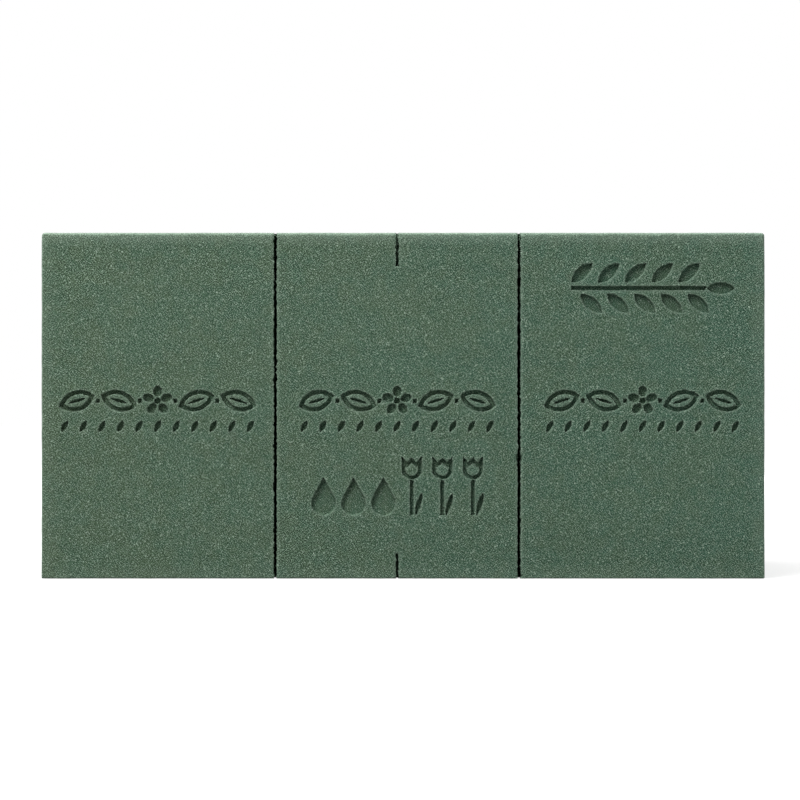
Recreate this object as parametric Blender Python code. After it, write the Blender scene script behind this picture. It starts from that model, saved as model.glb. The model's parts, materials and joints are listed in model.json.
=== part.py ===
"""A brick of floral foam, scored into three portions and stamped on its front face.

Metres, +Z up. X runs along the brick, the stamped face looks along -Y, and the origin is the middle
of the long narrow face that the brick stands on. The portions meet under the two score lines, where
a knife parts them, and the end portions draw off along X.
"""

import math

import bmesh
import bpy
from mathutils import Matrix

# The brick
LENGTH = 0.230
DEPTH = 0.080
HEIGHT = 0.110
EDGE_ROUND = 0.0008

# Score lines across the front face, and the short marks at its upper and lower edge that show its half
SCORE_PITCH = 0.0775
SCORE_WIDTH = 0.0010
SCORE_DEPTH = 0.0050
SCORE_SHIFT = -0.0019
HALF_MARK_WIDTH = 0.0009
HALF_MARK_DEPTH = 0.0040
HALF_MARK_REACH = 0.0093
HALF_MARK_DROP = 0.0013
PARTING_GAP = 0.0003

# Stamped ornament: sizes before the stamp is fitted to the narrowest portion
STAMP_DEPTH = 0.0014
STAMP_LINE = 0.0011
BAND_MARGIN = 0.0055
BAND_RISE = 0.0015
FLOWER_RADIUS = 0.0047
PETAL_COUNT = 5
PETAL_WIDTH = 0.0025
HEART_RADIUS = 0.0009
LEAF_LENGTH = 0.0116
LEAF_WIDTH = 0.0064
LEAF_TILT = math.radians(17)
RIB_LENGTH = 0.0052
RIB_WIDTH = 0.0007
LEAVES_EACH_SIDE = 2
STALK_LENGTH = 0.0019
SEED_LENGTH = 0.0038
SEED_WIDTH = 0.0015
SEED_COUNT = 11
SEED_TILT = math.radians(62)
SEED_DROP = 0.0082
DROP_WIDTH = 0.0076
DROP_HEIGHT = 0.0118
DROP_PITCH = 0.0096
TULIP_WIDTH = 0.0062
TULIP_CUP = 0.0070
TULIP_LINE = 0.0009
TULIP_SHOULDER = 0.0029
TULIP_NOTCH = 0.0019
TULIP_MIDDLE_TIP = 0.0003
TULIP_HEIGHT = 0.0185
TULIP_PITCH = 0.0098
TULIP_LEAF_LENGTH = 0.0070
TULIP_LEAF_WIDTH = 0.0014
TULIP_LEAF_TILT = math.radians(74)
TRIO = 3
TRIO_SPACING = 0.0022
LOWER_GAP = 0.0080
SPRIG_LEAF_LENGTH = 0.0088
SPRIG_LEAF_WIDTH = 0.0036
SPRIG_LEAF_TILT = math.radians(42)
SPRIG_LEAF_PITCH = 0.0086
SPRIG_LEAF_PAIRS = 5
SPRIG_UPPER_START = 0.0017
SPRIG_LOWER_START = 0.0047
SPRIG_SHIFT = 0.0033
SPRIG_TOP_GAP = 0.0095
STAMP_CLEARANCE = 0.0005

# Facets of one outline
LEAF_FACETS = 20
SMALL_FACETS = 12

FRONT = -DEPTH / 2
OVERCUT = 0.002


def score_lines():
    """X of the left and the right score line."""
    return SCORE_SHIFT - SCORE_PITCH / 2, SCORE_SHIFT + SCORE_PITCH / 2


def portion_faces():
    """The front face of each portion as (low x, high x), from left to right."""
    left_line, right_line = score_lines()
    lip = SCORE_WIDTH / 2
    return (
        (-LENGTH / 2, left_line - lip),
        (left_line + lip, right_line - lip),
        (right_line + lip, LENGTH / 2),
    )


def band_span():
    """Length of the leaf band before it is fitted: a flower with stalked leaves on both sides."""
    return 2 * (FLOWER_RADIUS + LEAVES_EACH_SIDE * (STALK_LENGTH + LEAF_LENGTH))


def stamp_scale():
    """The whole stamp is as large as leaves BAND_MARGIN of plain foam beside it on the narrowest portion."""
    narrowest = min(high - low for low, high in portion_faces())
    return (narrowest - 2 * BAND_MARGIN) / band_span()


# Outlines are lists of (u, v), counter-clockwise, in the plane of the front face


def ellipse(width, height, facets):
    angles = [2 * math.pi * i / facets for i in range(facets)]
    return [(width / 2 * math.cos(a), height / 2 * math.sin(a)) for a in angles]


def lens(length, width, facets):
    """A leaf between two equal arcs, its tips on the u axis."""
    rise, half = width / 2, length / 2
    radius = (half * half + rise * rise) / (2 * rise)
    sweep = math.asin(half / radius)
    steps = facets // 2
    upper = []
    for i in range(steps):
        angle = sweep * (1 - 2 * i / steps)
        upper.append((radius * math.sin(angle), radius * math.cos(angle) - radius + rise))
    return upper + [(-u, -v) for u, v in upper]


def water_drop(width, height, facets):
    """A round drop standing on v = 0, with its point at the top."""
    radius = width / 2
    lean = math.asin(radius / (height - radius))
    arc = [math.pi - lean + (math.pi + 2 * lean) * i / facets for i in range(facets + 1)]
    round_part = [(radius * math.cos(a), radius + radius * math.sin(a)) for a in arc]
    return [(0.0, height)] + round_part


def tulip_cup(width, height, facets):
    """A cup on v = 0, round up to its shoulder, with a rim of three points."""
    half = width / 2
    arc = [math.pi + math.pi * i / facets for i in range(facets + 1)]
    base = [(half * math.cos(a), TULIP_SHOULDER * (1 + math.sin(a))) for a in arc]
    notch = height - TULIP_NOTCH
    tip = height - TULIP_MIDDLE_TIP
    return base + [(half, height), (half / 2, notch), (0.0, tip), (-half / 2, notch), (-half, height)]


def bar(length, width):
    """A straight stroke from the origin along +u."""
    return [(0.0, -width / 2), (length, -width / 2), (length, width / 2), (0.0, width / 2)]


def inset(outline, step):
    """The outline moved inwards by step, with mitred corners."""
    count, moved = len(outline), []
    for i in range(count):
        (ax, ay), (bx, by), (cx, cy) = outline[i - 1], outline[i], outline[(i + 1) % count]
        before, after = math.hypot(bx - ax, by - ay), math.hypot(cx - bx, cy - by)
        nx, ny = (ay - by) / before, (bx - ax) / before
        mx, my = (by - cy) / after, (cx - bx) / after
        share = step / (1 + nx * mx + ny * my)
        moved.append((bx + (nx + mx) * share, by + (ny + my) * share))
    return moved


def placed(outline, at=(0.0, 0.0), turn=0.0):
    c, s = math.cos(turn), math.sin(turn)
    return [(at[0] + u * c - v * s, at[1] + u * s + v * c) for u, v in outline]


# Ornaments are lists of (outer outline, inner outline or None), in their own middle's coordinates


def leaf_with_rib(at, turn):
    """A leaf drawn as a line round its edge, with a rib along its middle."""
    edge = lens(LEAF_LENGTH, LEAF_WIDTH, LEAF_FACETS)
    rib = lens(RIB_LENGTH, RIB_WIDTH, SMALL_FACETS)
    return [
        (placed(edge, at, turn), placed(inset(edge, STAMP_LINE), at, turn)),
        (placed(rib, at, turn), None),
    ]


def flower():
    petal_length = FLOWER_RADIUS - HEART_RADIUS - STAMP_CLEARANCE
    reach = HEART_RADIUS + STAMP_CLEARANCE + petal_length / 2
    shapes = [(ellipse(2 * HEART_RADIUS, 2 * HEART_RADIUS, SMALL_FACETS), None)]
    for i in range(PETAL_COUNT):
        turn = math.pi / 2 + 2 * math.pi * i / PETAL_COUNT
        at = (reach * math.cos(turn), reach * math.sin(turn))
        shapes.append((placed(ellipse(petal_length, PETAL_WIDTH, SMALL_FACETS), at, turn), None))
    return shapes


def leaf_band():
    """A flower in the middle and stalked leaves on both sides, tilted up and down by turns."""
    shapes = flower()
    for side in (-1, 1):
        heading = 0.0 if side > 0 else math.pi
        for k in range(LEAVES_EACH_SIDE):
            start = FLOWER_RADIUS + k * (STALK_LENGTH + LEAF_LENGTH)
            stalk = bar(STALK_LENGTH - 2 * STAMP_CLEARANCE, STAMP_LINE)
            shapes.append((placed(stalk, (side * (start + STAMP_CLEARANCE), 0.0), heading), None))
            middle = start + STALK_LENGTH + LEAF_LENGTH / 2
            tilt = LEAF_TILT * (-1) ** k * side
            shapes += leaf_with_rib((side * middle, 0.0), tilt)
    return shapes


def seed_row():
    """Small slanting seeds under the leaf band, as long as the band."""
    pitch = (band_span() - SEED_LENGTH) / (SEED_COUNT - 1)
    seed = lens(SEED_LENGTH, SEED_WIDTH, SMALL_FACETS)
    starts = [pitch * (i - (SEED_COUNT - 1) / 2) for i in range(SEED_COUNT)]
    return [(placed(seed, (u, 0.0), SEED_TILT), None) for u in starts]


def drops_and_tulips():
    """Three solid water drops, then three tulips in line, standing on v = 0."""
    drops_span = DROP_PITCH * (TRIO - 1) + DROP_WIDTH
    tulips_span = TULIP_PITCH * (TRIO - 1) + TULIP_WIDTH
    left = -(drops_span + TRIO_SPACING + tulips_span) / 2
    shapes = []
    for k in range(TRIO):
        at = (left + DROP_WIDTH / 2 + k * DROP_PITCH, 0.0)
        shapes.append((placed(water_drop(DROP_WIDTH, DROP_HEIGHT, LEAF_FACETS), at), None))
    stem_length = TULIP_HEIGHT - TULIP_CUP - STAMP_CLEARANCE
    cup = tulip_cup(TULIP_WIDTH, TULIP_CUP, SMALL_FACETS)
    blade = lens(TULIP_LEAF_LENGTH, TULIP_LEAF_WIDTH, SMALL_FACETS)
    blade_rise = TULIP_LEAF_LENGTH / 2 * math.sin(TULIP_LEAF_TILT)
    blade_lean = TULIP_LEAF_LENGTH / 2 * math.cos(TULIP_LEAF_TILT)
    blade_shift = TULIP_LINE / 2 + STAMP_CLEARANCE + TULIP_LEAF_WIDTH / 4 + blade_lean
    for k in range(TRIO):
        u = left + drops_span + TRIO_SPACING + TULIP_WIDTH / 2 + k * TULIP_PITCH
        at = (u, TULIP_HEIGHT - TULIP_CUP)
        shapes.append((placed(cup, at), placed(inset(cup, TULIP_LINE), at)))
        shapes.append((placed(bar(stem_length, TULIP_LINE), (u, 0.0), math.pi / 2), None))
        shapes.append((placed(blade, (u + blade_shift, blade_rise), TULIP_LEAF_TILT), None))
    return shapes


def sprig_height():
    reach = SPRIG_LEAF_LENGTH * math.sin(SPRIG_LEAF_TILT) + SPRIG_LEAF_WIDTH * math.cos(SPRIG_LEAF_TILT) / 2
    return 2 * (STAMP_LINE / 2 + STAMP_CLEARANCE + reach)


def sprig():
    """A straight twig along u with slanting leaves above and below it, and one at its end."""
    twig_length = SPRIG_LEAF_PAIRS * SPRIG_LEAF_PITCH
    start = -(twig_length + STAMP_CLEARANCE + SPRIG_LEAF_LENGTH) / 2
    leaf = lens(SPRIG_LEAF_LENGTH, SPRIG_LEAF_WIDTH, LEAF_FACETS)
    shapes = [(placed(bar(twig_length, STAMP_LINE), (start, 0.0)), None)]
    end_leaf_at = (start + twig_length + STAMP_CLEARANCE + SPRIG_LEAF_LENGTH / 2, 0.0)
    shapes.append((placed(leaf, end_leaf_at), None))
    lift = STAMP_LINE / 2 + STAMP_CLEARANCE + SPRIG_LEAF_WIDTH / 4
    along = SPRIG_LEAF_LENGTH / 2 * math.cos(SPRIG_LEAF_TILT)
    up = SPRIG_LEAF_LENGTH / 2 * math.sin(SPRIG_LEAF_TILT)
    for k in range(SPRIG_LEAF_PAIRS):
        for side, foot in ((1, SPRIG_UPPER_START), (-1, SPRIG_LOWER_START)):
            at = (start + foot + k * SPRIG_LEAF_PITCH + along / 2, side * (lift + up))
            shapes.append((placed(leaf, at, side * SPRIG_LEAF_TILT), None))
    return shapes


# Solids


def collection():
    return bpy.context.scene.collection


def add_object(name, bm, material=None):
    bmesh.ops.recalc_face_normals(bm, faces=bm.faces)
    mesh = bpy.data.meshes.new(name)
    bm.to_mesh(mesh)
    bm.free()
    if material:
        mesh.materials.append(material)
    obj = bpy.data.objects.new(name, mesh)
    collection().objects.link(obj)
    return obj


def hide_cutter(obj):
    obj.hide_render = True
    obj.display_type = "WIRE"
    return obj


def add_box(bm, low, high):
    size = [h - l for l, h in zip(low, high)]
    middle = [(h + l) / 2 for l, h in zip(low, high)]
    place = Matrix.Translation(middle) @ Matrix.Diagonal((*size, 1.0))
    bmesh.ops.create_cube(bm, size=1.0, matrix=place)


def add_prism(bm, outer, inner, depth):
    """Presses an outline, with or without an island in it, into the front face."""
    loops = []
    for outline in filter(None, (outer, inner)):
        for y in (FRONT - OVERCUT, FRONT + depth):
            loops.append([bm.verts.new((u, y, v)) for u, v in outline])
    count = len(outer)
    pairs = [(0, 1)] if inner is None else [(0, 1), (2, 3), (0, 2), (1, 3)]
    for a, b in pairs:
        for i in range(count):
            j = (i + 1) % count
            bm.faces.new((loops[a][i], loops[a][j], loops[b][j], loops[b][i]))
    if inner is None:
        bm.faces.new(loops[0])
        bm.faces.new(loops[1])


def add_die(name, shapes, x, z):
    """A cutter that presses an ornament into the front face, its own middle at (x, z)."""
    scale = stamp_scale()
    bm = bmesh.new()
    for outer, inner in shapes:
        sized = [line and [(x + u * scale, z + v * scale) for u, v in line] for line in (outer, inner)]
        add_prism(bm, sized[0], sized[1], STAMP_DEPTH)
    return hide_cutter(add_object(name, bm))


def make_dies():
    """The stamps of each portion, from left to right."""
    scale = stamp_scale()
    middles = [(low + high) / 2 for low, high in portion_faces()]
    band_z = HEIGHT / 2 + BAND_RISE
    seeds_z = band_z - SEED_DROP * scale
    dies = []
    for i, x in enumerate(middles):
        band = add_die(f"cutter_leaf_band_{i + 1}", leaf_band(), x, band_z)
        seeds = add_die(f"cutter_seed_row_{i + 1}", seed_row(), x, seeds_z)
        dies.append([band, seeds])
    seeds_low = seeds_z - SEED_LENGTH * scale / 2
    lower_z = seeds_low - (LOWER_GAP + TULIP_HEIGHT) * scale
    dies[1].append(add_die("cutter_drops_and_tulips", drops_and_tulips(), middles[1], lower_z))
    sprig_z = HEIGHT - SPRIG_TOP_GAP - sprig_height() * scale / 2
    dies[2].append(add_die("cutter_sprig", sprig(), middles[2] + SPRIG_SHIFT, sprig_z))
    return dies


def make_score_blades():
    """Both score lines, over the full height of the front face."""
    bm = bmesh.new()
    for x in score_lines():
        low = (x - SCORE_WIDTH / 2, FRONT - OVERCUT, -OVERCUT)
        high = (x + SCORE_WIDTH / 2, FRONT + SCORE_DEPTH, HEIGHT + OVERCUT)
        add_box(bm, low, high)
    return hide_cutter(add_object("cutter_score_blades", bm))


def make_half_mark_blades():
    """The short marks half way between the score lines, in from the lower and the upper edge."""
    bm = bmesh.new()
    sides = (SCORE_SHIFT - HALF_MARK_WIDTH / 2, SCORE_SHIFT + HALF_MARK_WIDTH / 2)
    ends = (
        (-OVERCUT, HALF_MARK_REACH - HALF_MARK_DROP),
        (HEIGHT - HALF_MARK_REACH - HALF_MARK_DROP, HEIGHT + OVERCUT),
    )
    for low_z, high_z in ends:
        low = (sides[0], FRONT - OVERCUT, low_z)
        add_box(bm, low, (sides[1], FRONT + HALF_MARK_DEPTH, high_z))
    return hide_cutter(add_object("cutter_half_marks", bm))


def make_envelope(name, low_x, high_x):
    bm = bmesh.new()
    low = (low_x, -DEPTH / 2 - OVERCUT, -OVERCUT)
    add_box(bm, low, (high_x, DEPTH / 2 + OVERCUT, HEIGHT + OVERCUT))
    return hide_cutter(add_object(name, bm))


def foam_material():
    material = bpy.data.materials.new("floral_foam")
    material.use_nodes = True
    shader = material.node_tree.nodes["Principled BSDF"]
    shader.inputs["Base Color"].default_value = (0.093, 0.147, 0.102, 1.0)
    shader.inputs["Roughness"].default_value = 0.95
    shader.inputs["Metallic"].default_value = 0.0
    return material


def add_boolean(obj, cutter, operation):
    modifier = obj.modifiers.new(cutter.name, "BOOLEAN")
    modifier.operation = operation
    modifier.solver = "EXACT"
    modifier.object = cutter


def make_portion(name, joint_x, envelope, cutters, material):
    """The foam between two parting planes, with its origin on the plane that it draws off from."""
    bm = bmesh.new()
    add_box(bm, (-LENGTH / 2 - joint_x, -DEPTH / 2, 0.0), (LENGTH / 2 - joint_x, DEPTH / 2, HEIGHT))
    obj = add_object(name, bm, material)
    obj.location.x = joint_x
    rounding = obj.modifiers.new("worn_edges", "BEVEL")
    rounding.width = EDGE_ROUND
    rounding.segments = 2
    add_boolean(obj, envelope, "INTERSECT")
    for cutter in cutters:
        add_boolean(obj, cutter, "DIFFERENCE")


def main():
    for obj in list(bpy.data.objects):
        bpy.data.objects.remove(obj)
    left_line, right_line = score_lines()
    half_gap = PARTING_GAP / 2
    beyond = LENGTH / 2 + OVERCUT
    blades = make_score_blades()
    half_marks = make_half_mark_blades()
    left_dies, middle_dies, right_dies = make_dies()
    foam = foam_material()
    left = make_envelope("envelope_left", -beyond, left_line - half_gap)
    middle = make_envelope("envelope_middle", left_line + half_gap, right_line - half_gap)
    right = make_envelope("envelope_right", right_line + half_gap, beyond)
    make_portion("left_portion", left_line, left, [blades, *left_dies], foam)
    make_portion("middle_portion", SCORE_SHIFT, middle, [blades, half_marks, *middle_dies], foam)
    make_portion("right_portion", right_line, right, [blades, *right_dies], foam)


main()
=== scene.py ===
import json
import math

import bmesh
import bpy
import numpy as np
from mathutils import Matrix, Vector
from mathutils.bvhtree import BVHTree
from mathutils.kdtree import KDTree


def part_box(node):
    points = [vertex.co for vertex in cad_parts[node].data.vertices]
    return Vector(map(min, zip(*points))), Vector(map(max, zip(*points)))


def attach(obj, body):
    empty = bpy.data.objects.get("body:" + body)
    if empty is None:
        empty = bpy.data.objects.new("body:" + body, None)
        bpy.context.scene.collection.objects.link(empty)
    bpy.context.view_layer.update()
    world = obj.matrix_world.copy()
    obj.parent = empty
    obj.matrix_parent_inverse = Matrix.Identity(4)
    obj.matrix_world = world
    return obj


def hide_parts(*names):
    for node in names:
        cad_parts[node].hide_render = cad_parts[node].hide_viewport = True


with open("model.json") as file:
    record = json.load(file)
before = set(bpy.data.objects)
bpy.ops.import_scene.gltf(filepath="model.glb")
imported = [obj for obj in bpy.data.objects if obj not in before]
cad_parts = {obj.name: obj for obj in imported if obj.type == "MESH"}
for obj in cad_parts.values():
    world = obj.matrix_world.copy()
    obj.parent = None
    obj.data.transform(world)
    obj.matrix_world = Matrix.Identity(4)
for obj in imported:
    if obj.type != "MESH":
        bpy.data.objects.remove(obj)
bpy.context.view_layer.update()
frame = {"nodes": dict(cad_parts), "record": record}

mm = 0.001

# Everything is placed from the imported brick: its box, the planes where it parts,
# and the floors of its lines and stamps
portionNames = ["left_portion", "middle_portion", "right_portion"]
pieceNames = ["leftPortionFoam", "middlePortionFoam", "rightPortionFoam"]
portionBoxes = [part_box(name) for name in portionNames]
brickLow = Vector([min(low[axis] for low, high in portionBoxes) for axis in range(3)])
brickHigh = Vector([max(high[axis] for low, high in portionBoxes) for axis in range(3)])
frontY = brickLow.y
partingPlanes = [(portionBoxes[i][1].x + portionBoxes[i + 1][0].x) / 2 for i in range(2)]
portionEnds = [brickLow.x, *partingPlanes, brickHigh.x]
print("brick", [round(v / mm, 2) for v in portionEnds], "mm along X")


# Small helpers for node trees


def addNode(tree, kind, inputs=None, **settings):
    node = tree.nodes.new(kind)
    for name, value in settings.items():
        setattr(node, name, value)
    for key, value in (inputs or {}).items():
        feed(tree, node.inputs[key], value)
    return node


def feed(tree, socket, value):
    if isinstance(value, bpy.types.NodeSocket):
        tree.links.new(value, socket)
    else:
        socket.default_value = value


def calc(tree, operation, *values):
    return addNode(tree, "ShaderNodeMath", dict(enumerate(values)), operation=operation).outputs[0]


def plus(tree, *values):
    total = values[0]
    for value in values[1:]:
        total = calc(tree, "ADD", total, value)
    return total


def minus(tree, first, second):
    return calc(tree, "SUBTRACT", first, second)


def times(tree, *values):
    product = values[0]
    for value in values[1:]:
        product = calc(tree, "MULTIPLY", product, value)
    return product


def largest(tree, *values):
    top = values[0]
    for value in values[1:]:
        top = calc(tree, "MAXIMUM", top, value)
    return top


def vectorCalc(tree, operation, *values):
    node = addNode(tree, "ShaderNodeVectorMath", operation=operation)
    for i, value in enumerate(values):
        feed(tree, node.inputs["Scale" if operation == "SCALE" and i == 1 else i], value)
    return node.outputs["Value" if operation == "LENGTH" else "Vector"]


def axesOf(tree, vector):
    return addNode(tree, "ShaderNodeSeparateXYZ", {0: vector}).outputs


def vectorOf(tree, x, y, z):
    return addNode(tree, "ShaderNodeCombineXYZ", {0: x, 1: y, 2: z}).outputs[0]


def mapRange(tree, value, low, high, toLow=0.0, toHigh=1.0, smooth=True):
    node = addNode(tree, "ShaderNodeMapRange", interpolation_type="SMOOTHSTEP" if smooth else "LINEAR")
    for i, v in enumerate((value, low, high, toLow, toHigh)):
        feed(tree, node.inputs[i], v)
    return node.outputs[0]


def fading(tree, value, low, high, top=1.0):
    # full up to the first value, gone at the second
    return mapRange(tree, value, low, high, top, 0.0)


def noiseField(tree, vector, scale, detail=2.0, output=0):
    inputs = {"Vector": vector, "Scale": scale, "Detail": detail}
    return addNode(tree, "ShaderNodeTexNoise", inputs).outputs[output]


def mixColor(tree, share, first, second, **settings):
    node = addNode(tree, "ShaderNodeMix", {0: share, 6: first, 7: second}, data_type="RGBA", **settings)
    return node.outputs[2]


def openSockets(tree, direction, kind, *names):
    for name in names:
        tree.interface.new_socket(name=name, in_out=direction, socket_type="NodeSocket" + kind)


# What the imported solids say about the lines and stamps

pressedFloors = dict(
    faceDepth=0.3 * mm,      # nearer to the face than this is the face itself
    slotDepth=3.0 * mm,      # a deeper floor belongs to a score line or a half mark
    facing=0.99,             # how squarely a floor looks out of the face
    weld=0.01 * mm,
)


def floorsOf(nodeName):
    mesh = frame["nodes"][nodeName].data
    stamps, slots = [], []
    for face in mesh.polygons:
        depth = face.center.y - frontY
        if face.normal.y < -pressedFloors["facing"] and depth > pressedFloors["faceDepth"]:
            corners = [mesh.vertices[i].co.copy() for i in face.vertices]
            (slots if depth > pressedFloors["slotDepth"] else stamps).append(corners)
    return stamps, slots


def flatSheet(name, floors):
    # the floors brought up into the plane of the front face, as one sheet with shared corners
    bm = bmesh.new()
    for corners in floors:
        bm.faces.new([bm.verts.new((co.x, frontY, co.z)) for co in corners])
    bmesh.ops.remove_doubles(bm, verts=bm.verts, dist=pressedFloors["weld"])
    mesh = bpy.data.meshes.new(name)
    bm.to_mesh(mesh)
    bm.free()
    sheet = bpy.data.objects.new(name, mesh)
    bpy.context.scene.collection.objects.link(sheet)
    return sheet


# The foam of one portion as a closed shell of quads

foamShell = dict(
    step=1.5 * mm,                       # grid over the plain faces
    leastGap=0.45,                       # share of a step that grid lines keep clear of the fixed lines
    edgeLines=[0.12 * mm, 0.28 * mm, 0.5 * mm, 0.8 * mm],   # closer lines that follow the worn outer edges
    slotLines=[0.3 * mm, 0.8 * mm],      # and the floors of the slots
    lipReach=0.7 * mm,                   # the grid is finer this near to a slot
    lipEdge=0.35 * mm,                   # unless its edges are this short already
    stampReach=[0.85 * mm, 0.42 * mm],   # and finer again this near to the outline of a stamp
    outlineSpacing=0.2 * mm,
    hair=0.01 * mm,                      # nearer than this is the same place
    onFace=0.001 * mm,
)


def outlineOf(sheet):
    # points along the sheet's open edges, to ask how near an outline is
    bm = bmesh.new()
    bm.from_mesh(sheet.data)
    points = []
    for edge in bm.edges:
        if edge.is_boundary:
            a, b = edge.verts[0].co, edge.verts[1].co
            count = max(1, math.ceil((b - a).length / foamShell["outlineSpacing"]))
            points += [a.lerp(b, (i + 0.5) / count) for i in range(count)]
    bm.free()
    tree = KDTree(len(points))
    for i, point in enumerate(points):
        tree.insert(point, i)
    tree.balance()
    return tree


def gridLines(low, high, fixedLines):
    step = foamShell["step"]
    kept = sorted(set([low, high] + fixedLines))
    count = round((high - low) / step)
    regular = [low + (high - low) * i / count for i in range(1, count)]
    free = [v for v in regular if min(abs(v - k) for k in kept) > step * foamShell["leastGap"]]
    return sorted(kept + free)


def nearEdges(low, high, worn=(True, True)):
    lines = []
    for d in foamShell["edgeLines"]:
        lines += [low + d] if worn[0] else []
        lines += [high - d] if worn[1] else []
    return lines


def portionLines(index, slots):
    low, high = portionEnds[index], portionEnds[index + 1]
    inLow, inHigh = portionBoxes[index]
    hair = foamShell["hair"]
    corners = [co for floor in slots for co in floor]
    xs = {round(co.x, 6) for co in corners}
    ys = {round(co.y, 6) for co in corners}
    zs = {round(co.z, 6) for co in corners}
    lips = [x for x in xs if inLow.x + hair < x < inHigh.x - hair]
    ends = [z for z in zs if brickLow.z < z < brickHigh.z]
    xFixed = nearEdges(low, high, (index == 0, index == 2)) + lips
    yFixed = nearEdges(frontY, brickHigh.y) + sorted(ys)
    zFixed = nearEdges(brickLow.z, brickHigh.z) + ends
    for d in foamShell["slotLines"]:
        yFixed += [y + d for y in ys]
    alongX = gridLines(low, high, xFixed)
    alongY = gridLines(frontY, brickHigh.y, yFixed)
    alongZ = gridLines(brickLow.z, brickHigh.z, zFixed)
    return [alongX, alongY, alongZ]


def solidCells(index, lines, slots):
    # a cell is empty where it stands over the floor of a slot
    mids = [(np.array(l[1:]) + np.array(l[:-1])) / 2 for l in lines]
    solid = np.ones([len(m) for m in mids], bool)
    corners, faces = [], []
    for floor in slots:
        faces.append(range(len(corners), len(corners) + len(floor)))
        corners += floor
    tree = BVHTree.FromPolygons(corners, faces)
    inLow, inHigh = portionBoxes[index]
    hair = foamShell["hair"]
    for i, x in enumerate(mids[0]):
        inside = min(max(x, inLow.x + hair), inHigh.x - hair)
        for k, z in enumerate(mids[2]):
            hit = tree.ray_cast(Vector((inside, frontY - mm, z)), Vector((0, 1, 0)))[0]
            if hit is not None:
                solid[i, mids[1] < hit.y, k] = False
    return solid


def shellOf(lines, solid):
    # one quad wherever a filled cell meets an empty one, wound so that it faces out
    strides = [len(lines[1]) * len(lines[2]), len(lines[2]), 1]
    leavingRing = [(0, 0), (1, 0), (1, 1), (0, 1)]
    enteringRing = [(0, 0), (0, 1), (1, 1), (1, 0)]
    quads = []
    for a in range(3):
        b, c = (a + 1) % 3, (a + 2) % 3
        filled = np.moveaxis(np.pad(solid, 1), (a, b, c), (0, 1, 2))[:, 1:-1, 1:-1].astype(int)
        change = filled[1:] - filled[:-1]
        for step, ring in ((-1, leavingRing), (1, enteringRing)):
            at = np.argwhere(change == step)
            base = at[:, 0] * strides[a]
            corners = [base + (at[:, 1] + u) * strides[b] + (at[:, 2] + v) * strides[c] for u, v in ring]
            quads.append(np.stack(corners, 1))
    quads = np.concatenate(quads)
    used, renumbered = np.unique(quads, return_inverse=True)
    i, rest = np.divmod(used, strides[0])
    j, k = np.divmod(rest, strides[1])
    points = np.stack([np.array(lines[0])[i], np.array(lines[1])[j], np.array(lines[2])[k]], 1)
    return points, renumbered.reshape(quads.shape)


def refine(bm, wanted):
    edges = [e for e in bm.edges if wanted((e.verts[0].co + e.verts[1].co) / 2, e)]
    bmesh.ops.subdivide_edges(bm, edges=edges, cuts=1, use_grid_fill=True)


def shellMesh(index, slots, stampOutline, slotOutline):
    lines = portionLines(index, slots)
    points, quads = shellOf(lines, solidCells(index, lines, slots))
    mesh = bpy.data.meshes.new(pieceNames[index])
    mesh.from_pydata(points.tolist(), [], quads.tolist())
    bm = bmesh.new()
    bm.from_mesh(mesh)
    onFace = foamShell["onFace"]
    planes = [x for x in partingPlanes if x in portionEnds[index:index + 2]]
    deepest = max(co.y for floor in slots for co in floor)

    def onFront(co, edge=None):
        return co.y < frontY + onFace

    def onParting(co, edge):
        return not onFront(co) and min(abs(co.x - x) for x in planes) < onFace

    def atLip(co, edge):
        near = co.y < deepest + onFace and edge.calc_length() > foamShell["lipEdge"]
        return near and slotOutline.find(Vector((co.x, frontY, co.z)))[2] < foamShell["lipReach"]

    refine(bm, onFront)
    refine(bm, onParting)
    refine(bm, atLip)
    for reach in foamShell["stampReach"]:
        refine(bm, lambda co, edge: onFront(co) and stampOutline.find(co)[2] < reach)
    bm.to_mesh(mesh)
    bm.free()
    return mesh


# The rule that turns the plain shell into worn, scored and stamped foam

foamRule = {                      # the inputs of the node tree
    "Press Depth": 1.4 * mm,
    "Press Wall": 0.18 * mm,      # how far the side of a stamp leans out
    "Press Rag": 0.26 * mm,       # how far its outline wanders
    "Floor Rough": 0.10 * mm,
    "Edge Radius": 1.05 * mm,
    "Edge Crumble": 0.55,
    "Lip Wear": 0.16 * mm,
    "Lip Rag": 0.42 * mm,
    "Nick Depth": 0.7 * mm,
    "Grain Lift": 0.025 * mm,
    "Wave Lift": 0.06 * mm,
    "Cut Recess": 0.06 * mm,
    "Cut Rough": 0.75 * mm,
}

foamNoise = dict(                 # noise scale, to the metre, and detail
    crumble=(700.0, 3.0),
    coarseCrumble=(160.0, 2.0),
    stampRag=(1500.0, 2.0),
    stampFloor=(1100.0, 3.0),
    slotRag=(1150.0, 2.0),
    grain=(900.0, 3.0),
    wave=(110.0, 2.0),
    tornFine=(620.0, 2.0),
    tornCoarse=(130.0, 2.0),
    nick=(1.0, 2.0),
)

foamGain = dict(                  # noise keeps near its middle, so each use stretches it
    crumble=2.2,
    coarseCrumble=1.6,
    leastRadius=0.25,
    stampRag=3.0,
    stampFloor=4.0,
    slotRag=3.5,
    lift=2.0,
    torn=2.0,
    wornEdge=6.0,
)

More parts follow.
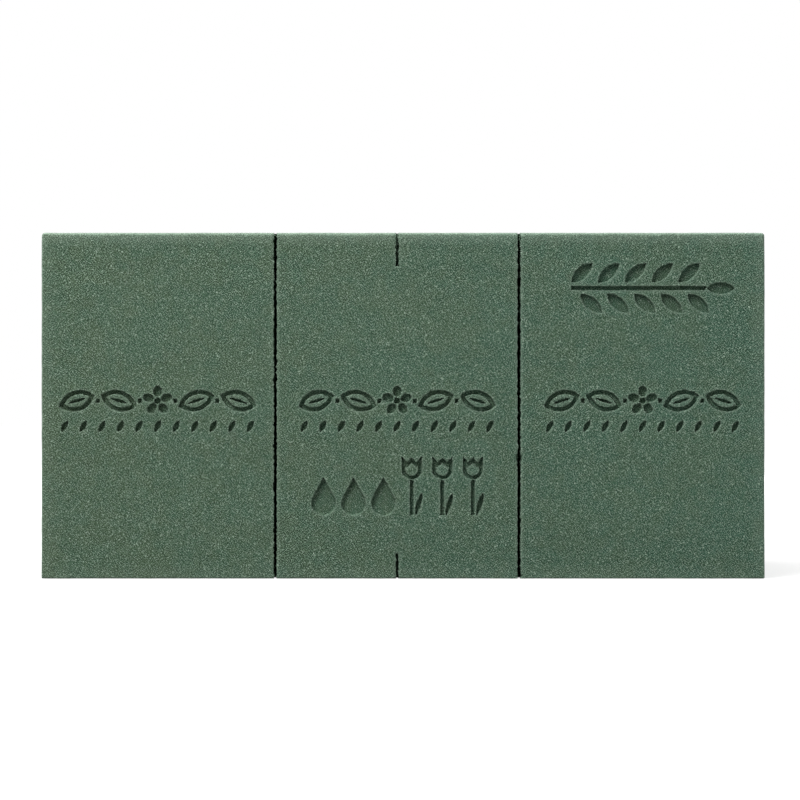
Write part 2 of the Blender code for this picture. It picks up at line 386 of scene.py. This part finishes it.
foamReach = dict(                 # where each effect starts and ends
    least=0.001 * mm,                             # keeps a division from meeting nothing
    atFace=(0.01 * mm, 0.02 * mm),                # a point this near to a plane lies in it
    topWear=(2.0 * mm, 8.0 * mm, 1.0, 0.65),      # the top edges wear rounder than the sides
    footWear=(2.0 * mm, 8.0 * mm, 0.6, 1.0),      # and the sides rounder than the foot
    slotRag=(0.1 * mm, 0.8 * mm),
    slotDepth=(4.0 * mm, 5.2 * mm),
    slotLip=(0.0, 0.5 * mm),
    nick=(0.66, 0.74),
    nickSide=(0.1 * mm, 0.7 * mm),
    partingRim=(0.0, 1.6 * mm),
    partingEnd=1.0 * mm,
    edgeDustAndTopHighlight=(0.0, 7.0 * mm, 0.55, 0.16),          # how pale the edges are, from the top down: a little pale dust all round, with a painted highlight that is strongest at the top, where the light falls
    # how far the pale dust and the painted edge highlight reach into the faces
    edgeDustAndHighlight=(0.0, 5.5 * mm),
    # pale dust and painted highlight on the lips of stamps and slots, painted like lit rims
    stampLipDustAndHighlight=(0.25 * mm, 0.9 * mm, 0.4),
    slotLipDustAndHighlight=(0.2 * mm, 1.2 * mm, 0.36),
)

foamStretch = dict(
    slotRag=(1.0, 0.15, 1.0),     # the walls of a slot keep their shape from front to back
    nick=(40.0, 0.0, 330.0),
    torn=(1.0, 1.0, 0.45),        # the knife tears along Z
)


def foamTree():
    tree = bpy.data.node_groups.new("foamSurface", "GeometryNodeTree")
    openSockets(tree, "INPUT", "Geometry", "Geometry")
    openSockets(tree, "INPUT", "Object", "Stamps", "Slots")
    openSockets(tree, "INPUT", "Vector", "Low", "High")
    openSockets(tree, "INPUT", "Float", "Part Low", "Part High", *foamRule)
    openSockets(tree, "INPUT", "Material", "Skin", "Cut")
    openSockets(tree, "OUTPUT", "Geometry", "Geometry")
    given = addNode(tree, "NodeGroupInput").outputs
    place = addNode(tree, "GeometryNodeInputPosition").outputs[0]
    axes = axesOf(tree, place)
    lowAxes = axesOf(tree, given["Low"])

    def distanceTo(objectSocket, point):
        sheet = addNode(tree, "GeometryNodeObjectInfo", {"Object": objectSocket}).outputs["Geometry"]
        node = addNode(tree, "GeometryNodeProximity", {"Geometry": sheet}, target_element="FACES")
        feed(tree, node.inputs["Sample Position"], point)
        return node.outputs["Distance"]

    def centred(vector, scale, detail):
        return minus(tree, noiseField(tree, vector, scale, detail), 0.5)

    def centredVector(vector, scale, detail):
        spread = noiseField(tree, vector, scale, detail, output=1)
        return vectorCalc(tree, "SUBTRACT", spread, (0.5, 0.5, 0.5))

    # how far each point is from the front face, and its foot in the plane of that face
    inward = minus(tree, axes[1], lowAxes[1])
    foot = vectorOf(tree, axes[0], lowAxes[1], axes[2])
    onFront = fading(tree, inward, *foamReach["atFace"])

    # and how far from every outer face of the brick
    middle = vectorCalc(tree, "SCALE", vectorCalc(tree, "ADD", given["Low"], given["High"]), 0.5)
    half = vectorCalc(tree, "SCALE", vectorCalc(tree, "SUBTRACT", given["High"], given["Low"]), 0.5)
    fromMiddle = vectorCalc(tree, "SUBTRACT", place, middle)
    halfAxes = axesOf(tree, half)
    middleAxes = axesOf(tree, fromMiddle)
    gaps = [minus(tree, halfAxes[i], calc(tree, "ABSOLUTE", middleAxes[i])) for i in range(3)]
    topGap = minus(tree, halfAxes[2], middleAxes[2])
    footGap = minus(tree, axes[2], lowAxes[2])

    # worn outer edges: a point nearer to an edge than the radius is drawn onto a round,
    # and the radius wanders
    crumble = times(tree, centred(place, *foamNoise["crumble"]), foamGain["crumble"])
    coarse = times(tree, centred(place, *foamNoise["coarseCrumble"]), foamGain["coarseCrumble"])
    share = calc(tree, "MULTIPLY_ADD", plus(tree, crumble, coarse), given["Edge Crumble"], 1.0)
    topWear = mapRange(tree, topGap, *foamReach["topWear"])
    footWear = mapRange(tree, footGap, *foamReach["footWear"])
    wear = times(tree, largest(tree, share, foamGain["leastRadius"]), times(tree, topWear, footWear))
    radius = times(tree, given["Edge Radius"], wear)
    inset = vectorCalc(tree, "SUBTRACT", half, vectorOf(tree, radius, radius, radius))
    past = vectorCalc(tree, "SUBTRACT", vectorCalc(tree, "ABSOLUTE", fromMiddle), inset)
    over = vectorCalc(tree, "MAXIMUM", past, (0, 0, 0))
    reach = largest(tree, vectorCalc(tree, "LENGTH", over), foamReach["least"])
    excess = minus(tree, 1.0, calc(tree, "MINIMUM", 1.0, calc(tree, "DIVIDE", radius, reach)))
    pull = vectorCalc(tree, "MULTIPLY", vectorCalc(tree, "SIGN", fromMiddle), over)
    rounding = vectorCalc(tree, "SCALE", pull, times(tree, excess, -1.0))

    # stamps: pressed in where the foot is over a stamp, with an outline that wanders
    ragAmount = times(tree, given["Press Rag"], foamGain["stampRag"])
    rag = vectorCalc(tree, "SCALE", centredVector(place, *foamNoise["stampRag"]), ragAmount)
    ragFlat = vectorCalc(tree, "MULTIPLY", rag, (1, 0, 1))
    toStamp = distanceTo(given["Stamps"], vectorCalc(tree, "ADD", foot, ragFlat))
    pressed = times(tree, fading(tree, toStamp, 0.0, given["Press Wall"]), onFront)
    floorRough = times(tree, given["Floor Rough"], foamGain["stampFloor"])
    uneven = times(tree, centred(place, *foamNoise["stampFloor"]), floorRough)
    pressDepth = times(tree, pressed, plus(tree, given["Press Depth"], uneven))

    # score lines and half marks: ragged walls, worn lips and a nick here and there
    toSlot = distanceTo(given["Slots"], foot)
    nearSlot = times(tree, fading(tree, toSlot, *foamReach["slotRag"]),
                     fading(tree, inward, *foamReach["slotDepth"]))
    alongWall = vectorCalc(tree, "MULTIPLY", place, foamStretch["slotRag"])
    wallNoise = vectorCalc(tree, "MULTIPLY", centredVector(alongWall, *foamNoise["slotRag"]), (1, 0, 0))
    wallRag = times(tree, times(tree, given["Lip Rag"], foamGain["slotRag"]), nearSlot)
    wallShift = vectorCalc(tree, "SCALE", wallNoise, wallRag)
    lip = times(tree, fading(tree, toSlot, *foamReach["slotLip"]), onFront)
    nickPlace = vectorCalc(tree, "MULTIPLY", foot, foamStretch["nick"])
    nick = mapRange(tree, noiseField(tree, nickPlace, *foamNoise["nick"]), *foamReach["nick"])
    nickSide = fading(tree, toSlot, *foamReach["nickSide"])
    nickDepth = times(tree, nick, given["Nick Depth"], nickSide)
    lipDepth = plus(tree, times(tree, lip, given["Lip Wear"]), times(tree, nickDepth, onFront))

    # the grain of the foam stands proud everywhere, over a slow wave of the sawn face
    grainLift = times(tree, given["Grain Lift"], foamGain["lift"])
    waveLift = times(tree, given["Wave Lift"], foamGain["lift"])
    grain = vectorCalc(tree, "SCALE", centredVector(place, *foamNoise["grain"]), grainLift)
    wave = vectorCalc(tree, "SCALE", centredVector(place, *foamNoise["wave"]), waveLift)

    # parting faces: inside their rim they lie back from the plane, torn rough by the knife
    toLow = calc(tree, "ABSOLUTE", minus(tree, axes[0], given["Part Low"]))
    toHigh = calc(tree, "ABSOLUTE", minus(tree, axes[0], given["Part High"]))
    atPlane = fading(tree, calc(tree, "MINIMUM", toLow, toHigh), *foamReach["atFace"])
    endOfBrick = minus(tree, halfAxes[0], foamReach["partingEnd"])
    inBrick = mapRange(tree, calc(tree, "ABSOLUTE", middleAxes[0]), halfAxes[0], endOfBrick)
    cut = times(tree, atPlane, inBrick)
    rim = mapRange(tree, calc(tree, "MINIMUM", gaps[1], gaps[2]), *foamReach["partingRim"])
    torn = vectorCalc(tree, "MULTIPLY", place, foamStretch["torn"])
    tornFine = noiseField(tree, torn, *foamNoise["tornFine"])
    tornDepth = times(tree, tornFine, noiseField(tree, place, *foamNoise["tornCoarse"]), foamGain["torn"])
    recess = calc(tree, "MULTIPLY_ADD", tornDepth, given["Cut Rough"], given["Cut Recess"])
    towards = calc(tree, "SIGN", minus(tree, toHigh, toLow))
    cutMove = times(tree, times(tree, recess, towards), times(tree, cut, rim))

    offset = rounding
    for part in (vectorOf(tree, cutMove, plus(tree, pressDepth, lipDepth), 0.0), wallShift, grain, wave):
        offset = vectorCalc(tree, "ADD", offset, part)

    # pale dust and painted highlight: dust on the worn edges, fading into the faces, with a painted highlight
    # that is strongest on the top edges where the light falls; and on the lips of slots and stamps, painted
    # paler like lit rims over a little dust.
    # The second smallest distance to a face is the distance to the nearest edge
    between = calc(tree, "MINIMUM", largest(tree, gaps[0], gaps[1]), gaps[2])
    toEdge = largest(tree, calc(tree, "MINIMUM", gaps[0], gaps[1]), between)
    # painted highlight: the edges are painted paler near the top, where the light falls, over a little pale
    # dust all round
    dustAndTopHighlightShare = mapRange(tree, topGap, *foamReach["edgeDustAndTopHighlight"])
    edgeDustAndHighlight = fading(tree, toEdge, *foamReach["edgeDustAndHighlight"], dustAndTopHighlightShare)
    wornEdge = calc(tree, "MINIMUM", 1.0, times(tree, excess, foamGain["wornEdge"]))
    # painted highlight on the lips of stamps and slots, like lit rims, over a little pale dust
    stampLipDustAndHighlight = times(tree, fading(tree, toStamp, *foamReach["stampLipDustAndHighlight"]), minus(tree, onFront, pressed))
    slotLipDustAndHighlight = times(tree, fading(tree, toSlot, *foamReach["slotLipDustAndHighlight"]), onFront)
    # worn holds pale dust on the worn edges together with painted highlights on the top edges and on the lips
    worn = largest(tree, edgeDustAndHighlight, wornEdge, stampLipDustAndHighlight, slotLipDustAndHighlight)

    shape = given["Geometry"]
    for name, value in (("pressed", pressed), ("worn", worn), ("cut", cut)):
        node = addNode(tree, "GeometryNodeStoreNamedAttribute",
                       {"Geometry": shape, "Name": name, "Value": value}, data_type="FLOAT", domain="POINT")
        shape = node.outputs[0]
    shape = addNode(tree, "GeometryNodeSetPosition", {"Geometry": shape, "Offset": offset}).outputs[0]
    shape = addNode(tree, "GeometryNodeSetShadeSmooth", {"Geometry": shape}).outputs[0]
    shape = addNode(tree, "GeometryNodeRealizeInstances", {"Geometry": shape}).outputs[0]
    cutMask = addNode(tree, "GeometryNodeInputNamedAttribute", {"Name": "cut"}, data_type="FLOAT").outputs[0]
    isCut = calc(tree, "GREATER_THAN", cutMask, 0.5)
    for finish in ({"Material": given["Skin"]}, {"Material": given["Cut"], "Selection": isCut}):
        shape = addNode(tree, "GeometryNodeSetMaterial", {"Geometry": shape, **finish}).outputs[0]
    addNode(tree, "NodeGroupOutput", {"Geometry": shape})
    return tree


def setInputs(modifier, values):
    sockets = {s.name: s.identifier for s in modifier.node_group.interface.items_tree if s.in_out == "INPUT"}
    for name, value in values.items():
        modifier[sockets[name]] = value


# Materials

foamLook = dict(
    warm=(0.0850, 0.147, 0.0885, 1),    # dry moss green, leaning to yellow
    cool=(0.0655, 0.1445, 0.0960, 1),   # and the bluer green towards the right end
    speck=(0.34, 0.455, 0.36, 1),       # cell walls that catch the light
    pit=(0.020, 0.036, 0.024, 1),       # open cells
    rust=(0.130, 0.110, 0.070, 1),
    # pale colour for dust and for the painted highlights on the top edges and the lips
    dustAndHighlight=(0.33, 0.43, 0.35, 1),
    grainScale=2900.0,                  # cells of a third of a millimetre
    grainAmount=0.72,
    glintAbove=0.967,                   # only the few brightest cells get a painted glint
    dustAndHighlightShare=0.55,
    pressedTone=0.98,
    skinTone=1.0,
    cutTone=0.90,
    skinBump=0.55,
    cutBump=0.8,
    bumpDistance=0.25 * mm,
    specularLevel=0.18,
)

grainRule = dict(
    fineScale=1.1,                      # of the grain scale
    crispness=1.15,                     # how much of its surroundings each grain is freed from
    crispGain=1.3,
    crispShift=-0.03,
    cellShare=0.12,                     # steps of tone from cell to cell
    darkRange=(0.68, 0.33),
    lightRange=(0.68, 1.16),
    glintGain=0.6,
    glintLeast=0.36,
    driftToCool=(0.0, 0.7),             # from the left end to the right
    patchScales=(60.0, 260.0),
    patchRange=(0.75, 1.25, -0.29, 0.42),
    sawnScale=(14.0, 14.0, 750.0),      # faint level streaks left by the saw
    sawnRange=(0.3, 0.7, 0.97, 1.03),
    rustNoise=(120.0, 4.0),
    rustRange=(0.62, 0.80, 0.0, 0.2),
    roughRange=(0.3, 1.1, 0.98, 0.80),
)


def foamGrain():
    group = bpy.data.node_groups.new("foamGrain", "ShaderNodeTree")
    openSockets(group, "INPUT", "Vector", "Vector")
    openSockets(group, "INPUT", "Color", "Warm", "Cool", "Speck", "Pit", "Rust")
    openSockets(group, "INPUT", "Float", "Grain Scale", "Grain Amount", "Glint Above")
    openSockets(group, "OUTPUT", "Color", "Color")
    openSockets(group, "OUTPUT", "Float", "Height", "Roughness")
    given = addNode(group, "NodeGroupInput").outputs
    vector, scale, amount = given["Vector"], given["Grain Scale"], given["Grain Amount"]

    # a chance for each cell, and a fine grain that stands out from the mean of its six neighbours
    cell = addNode(group, "ShaderNodeTexVoronoi", {"Vector": vector, "Scale": scale}, feature="F1").outputs
    chance = addNode(group, "ShaderNodeSeparateColor", {0: cell["Color"]}).outputs
    fineScale = times(group, scale, grainRule["fineScale"])
    fine = noiseField(group, vector, fineScale, 0.0)
    spacing = calc(group, "DIVIDE", 1.0, scale)
    beside = []
    for way in ((1, 0, 0), (-1, 0, 0), (0, 0, 1), (0, 0, -1), (0, 1, 0), (0, -1, 0)):
        near = vectorCalc(group, "ADD", vector, vectorCalc(group, "SCALE", way, spacing))
        beside.append(noiseField(group, near, fineScale, 0.0))
    mean = calc(group, "DIVIDE", plus(group, *beside), len(beside))
    crisp = minus(group, fine, times(group, minus(group, mean, 0.5), grainRule["crispness"]))
    crisp = calc(group, "MULTIPLY_ADD", crisp, grainRule["crispGain"], grainRule["crispShift"])
    grain = plus(group, times(group, chance[0], grainRule["cellShare"]), crisp)
    # painted highlights: the few cells above Glint Above are painted bright as glints, under any lamp
    glint = calc(group, "GREATER_THAN", chance[1], given["Glint Above"])
    glintTone = calc(group, "MULTIPLY_ADD", chance[2], grainRule["glintGain"], grainRule["glintLeast"])

    # the green drifts along the brick and in patches, under faint streaks and a little rust
    along = axesOf(group, vector)[0]
    drift = mapRange(group, along, brickLow.x, brickHigh.x, *grainRule["driftToCool"], smooth=False)
    patch = plus(group, *[noiseField(group, vector, s, 2.0) for s in grainRule["patchScales"]])
    toCool = plus(group, drift, mapRange(group, patch, *grainRule["patchRange"]))
    tone = mixColor(group, toCool, given["Warm"], given["Cool"], clamp_factor=False)
    sawn = noiseField(group, vectorCalc(group, "MULTIPLY", vector, grainRule["sawnScale"]), 1.0, 1.0)
    tone = vectorCalc(group, "SCALE", tone, mapRange(group, sawn, *grainRule["sawnRange"]))
    rustNoise = noiseField(group, vector, *grainRule["rustNoise"])
    tone = mixColor(group, mapRange(group, rustNoise, *grainRule["rustRange"]), tone, given["Rust"])

    dark = times(group, mapRange(group, grain, *grainRule["darkRange"], smooth=False), amount)
    light = times(group, mapRange(group, grain, *grainRule["lightRange"], smooth=False), amount)
    light = largest(group, light, times(group, glint, glintTone))
    color = mixColor(group, dark, tone, given["Pit"])
    color = mixColor(group, light, color, given["Speck"])
    rough = mapRange(group, grain, *grainRule["roughRange"])
    addNode(group, "NodeGroupOutput", {"Color": color, "Height": grain, "Roughness": rough})
    return group


def foamMaterial(name, group, tone, bump):
    material = bpy.data.materials.new(name)
    material.use_nodes = True
    tree = material.node_tree
    shader = tree.nodes["Principled BSDF"]
    where = addNode(tree, "ShaderNodeTexCoord").outputs["Object"]
    grain = addNode(tree, "ShaderNodeGroup", node_tree=group)
    feed(tree, grain.inputs["Vector"], where)
    for socket in ("Warm", "Cool", "Speck", "Pit", "Rust"):
        grain.inputs[socket].default_value = foamLook[socket.lower()]
    grain.inputs["Grain Scale"].default_value = foamLook["grainScale"]
    grain.inputs["Grain Amount"].default_value = foamLook["grainAmount"]
    grain.inputs["Glint Above"].default_value = foamLook["glintAbove"]
    pressed = addNode(tree, "ShaderNodeAttribute", attribute_name="pressed").outputs["Fac"]
    worn = addNode(tree, "ShaderNodeAttribute", attribute_name="worn").outputs["Fac"]
    # where worn says, the pale colour is mixed in: dust, and painted highlight on the top edges and the lips
    dustAndHighlightColor = mixColor(tree, times(tree, worn, foamLook["dustAndHighlightShare"]), grain.outputs["Color"], foamLook["dustAndHighlight"])
    shade = mapRange(tree, pressed, 0.0, 1.0, tone, tone * foamLook["pressedTone"])
    shadeColor = addNode(tree, "ShaderNodeCombineColor", {0: shade, 1: shade, 2: shade}).outputs[0]
    feed(tree, shader.inputs["Base Color"], mixColor(tree, 1.0, dustAndHighlightColor, shadeColor, blend_type="MULTIPLY"))
    feed(tree, shader.inputs["Roughness"], grain.outputs["Roughness"])
    shader.inputs["Specular IOR Level"].default_value = foamLook["specularLevel"]
    lift = {"Strength": bump, "Distance": foamLook["bumpDistance"], "Height": grain.outputs["Height"]}
    feed(tree, shader.inputs["Normal"], addNode(tree, "ShaderNodeBump", lift).outputs[0])
    return material


# The three portions

grainGroup = foamGrain()
skin = foamMaterial("foamSkin", grainGroup, foamLook["skinTone"], foamLook["skinBump"])
cutFoam = foamMaterial("foamCut", grainGroup, foamLook["cutTone"], foamLook["cutBump"])
surface = foamTree()
sharpAngle = math.radians(50)
bodyNames = {node: body for body, nodes in frame["record"]["behaviour"]["bodies"].items() for node in nodes}


def plainMesh(draft, name):
    bpy.context.view_layer.update()
    evaluated = draft.evaluated_get(bpy.context.evaluated_depsgraph_get())
    mesh = bpy.data.meshes.new_from_object(evaluated)
    mesh.name = name
    mesh.set_sharp_from_angle(angle=sharpAngle)
    return mesh


for index, nodeName in enumerate(portionNames):
    stamps, slots = floorsOf(nodeName)
    stampSheet, slotSheet = flatSheet("stampSheet", stamps), flatSheet("slotSheet", slots)
    shell = shellMesh(index, slots, outlineOf(stampSheet), outlineOf(slotSheet))
    draft = bpy.data.objects.new("draft", shell)
    bpy.context.scene.collection.objects.link(draft)
    rule = draft.modifiers.new("foam", "NODES")
    rule.node_group = surface
    setInputs(rule, {**foamRule, "Stamps": stampSheet, "Slots": slotSheet, "Low": brickLow, "High": brickHigh,
                     "Part Low": portionEnds[index], "Part High": portionEnds[index + 1],
                     "Skin": skin, "Cut": cutFoam})
    finished = plainMesh(draft, pieceNames[index])
    for spent in (draft, stampSheet, slotSheet):
        bpy.data.objects.remove(spent)
    foam = bpy.data.objects.new(pieceNames[index], finished)
    bpy.context.scene.collection.objects.link(foam)
    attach(foam, bodyNames[nodeName])
    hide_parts(nodeName)
    finished.calc_loop_triangles()
    print(pieceNames[index], len(finished.loop_triangles), "triangles")


# Floor, light and camera

studio = dict(
    lens=100.0,
    faceWidth=0.9044,        # share of the camera's view that the brick's length takes
    asideX=-0.98 * mm,
    aboveZ=1.77 * mm,
    floorSize=8.0,
    floorGap=0.08 * mm,      # the worn foam never quite touches the floor
    floorTone=0.38,          # the floor under the lamps as the camera sees it
    floorGlow=(0.66, 1.0),   # and its own light, near the brick and far from it
    glowReach=(0.12, 0.65),
    floorBounce=0.20,        # what the floor gives back to the brick: little, so the stamps stay dark
    worldLight=0.165,
    lampTarget=(0, 0, 0.05),
)

lamps = dict(
    keyLight=dict(place=(-0.55, -0.75, 0.85), size=(0.5, 0.5), power=7.5, color=(1.0, 0.985, 0.96)),
    overheadSoftbox=dict(place=(-0.30, -0.16, 1.08), size=(0.9, 0.9), power=18.5),
    rightFill=dict(place=(1.1, -0.45, 0.40), size=(0.6, 0.6), power=2.3),
    backFill=dict(place=(0.80, 1.0, 0.60), size=(0.8, 0.6), power=12.0),
)


def cameraMix(tree, forCamera, forOthers):
    # one shader for what the camera sees directly and another for what lights the brick
    isSeen = addNode(tree, "ShaderNodeLightPath").outputs["Is Camera Ray"]
    return addNode(tree, "ShaderNodeMixShader", {0: isSeen, 1: forOthers, 2: forCamera}).outputs[0]


def grey(value):
    return (value, value, value, 1)


def makeFloor():
    size = studio["floorSize"] / 2
    mesh = bpy.data.meshes.new("floor")
    corners = [(-size, -size, 0), (size, -size, 0), (size, size, 0), (-size, size, 0)]
    mesh.from_pydata(corners, [], [(0, 1, 2, 3)])
    floor = bpy.data.objects.new("floor", mesh)
    floor.location.z = brickLow.z - studio["floorGap"]
    bpy.context.scene.collection.objects.link(floor)
    material = bpy.data.materials.new("paleFloor")
    material.use_nodes = True
    tree = material.node_tree
    tree.nodes.remove(tree.nodes["Principled BSDF"])
    where = addNode(tree, "ShaderNodeTexCoord").outputs["Object"]
    glow = mapRange(tree, vectorCalc(tree, "LENGTH", where), *studio["glowReach"], *studio["floorGlow"])
    matt = addNode(tree, "ShaderNodeBsdfDiffuse", {"Color": grey(studio["floorTone"])}).outputs[0]
    glowing = addNode(tree, "ShaderNodeEmission", {"Strength": glow}).outputs[0]
    pale = addNode(tree, "ShaderNodeAddShader", {0: matt, 1: glowing}).outputs[0]
    lighting = addNode(tree, "ShaderNodeBsdfDiffuse", {"Color": grey(studio["floorBounce"])}).outputs[0]
    tree.links.new(cameraMix(tree, pale, lighting), tree.nodes["Material Output"].inputs["Surface"])
    mesh.materials.append(material)


def makeWorld():
    world = bpy.data.worlds.new("studio")
    world.use_nodes = True
    tree = world.node_tree
    tree.nodes.remove(tree.nodes["Background"])
    seen = addNode(tree, "ShaderNodeBackground", {"Color": grey(1), "Strength": 1.0}).outputs[0]
    light = {"Color": grey(1), "Strength": studio["worldLight"]}
    lighting = addNode(tree, "ShaderNodeBackground", light).outputs[0]
    tree.links.new(cameraMix(tree, seen, lighting), tree.nodes["World Output"].inputs["Surface"])
    bpy.context.scene.world = world


def makeLamp(name, place, size, power, color=(1, 1, 1)):
    light = bpy.data.lights.new(name, "AREA")
    light.shape = "RECTANGLE"
    light.size, light.size_y = size
    light.energy = power
    light.color = color
    lamp = bpy.data.objects.new(name, light)
    lamp.location = place
    aim = Vector(studio["lampTarget"]) - Vector(place)
    lamp.rotation_euler = aim.to_track_quat("-Z", "Y").to_euler()
    bpy.context.scene.collection.objects.link(lamp)


def makeCamera():
    lens = bpy.data.cameras.new("camera")
    lens.lens = studio["lens"]
    camera = bpy.data.objects.new("camera", lens)
    width = (brickHigh.x - brickLow.x) / studio["faceWidth"]
    away = width * lens.lens / lens.sensor_width
    middle = (brickLow + brickHigh) / 2
    camera.location = (middle.x + studio["asideX"], frontY - away, middle.z + studio["aboveZ"])
    camera.rotation_euler = (math.radians(90), 0, 0)
    bpy.context.scene.collection.objects.link(camera)
    bpy.context.scene.camera = camera


makeFloor()
makeWorld()
for name, lamp in lamps.items():
    makeLamp(name, **lamp)
bpy.context.scene.view_settings.view_transform = "Standard"
makeCamera()
print("studio ready")
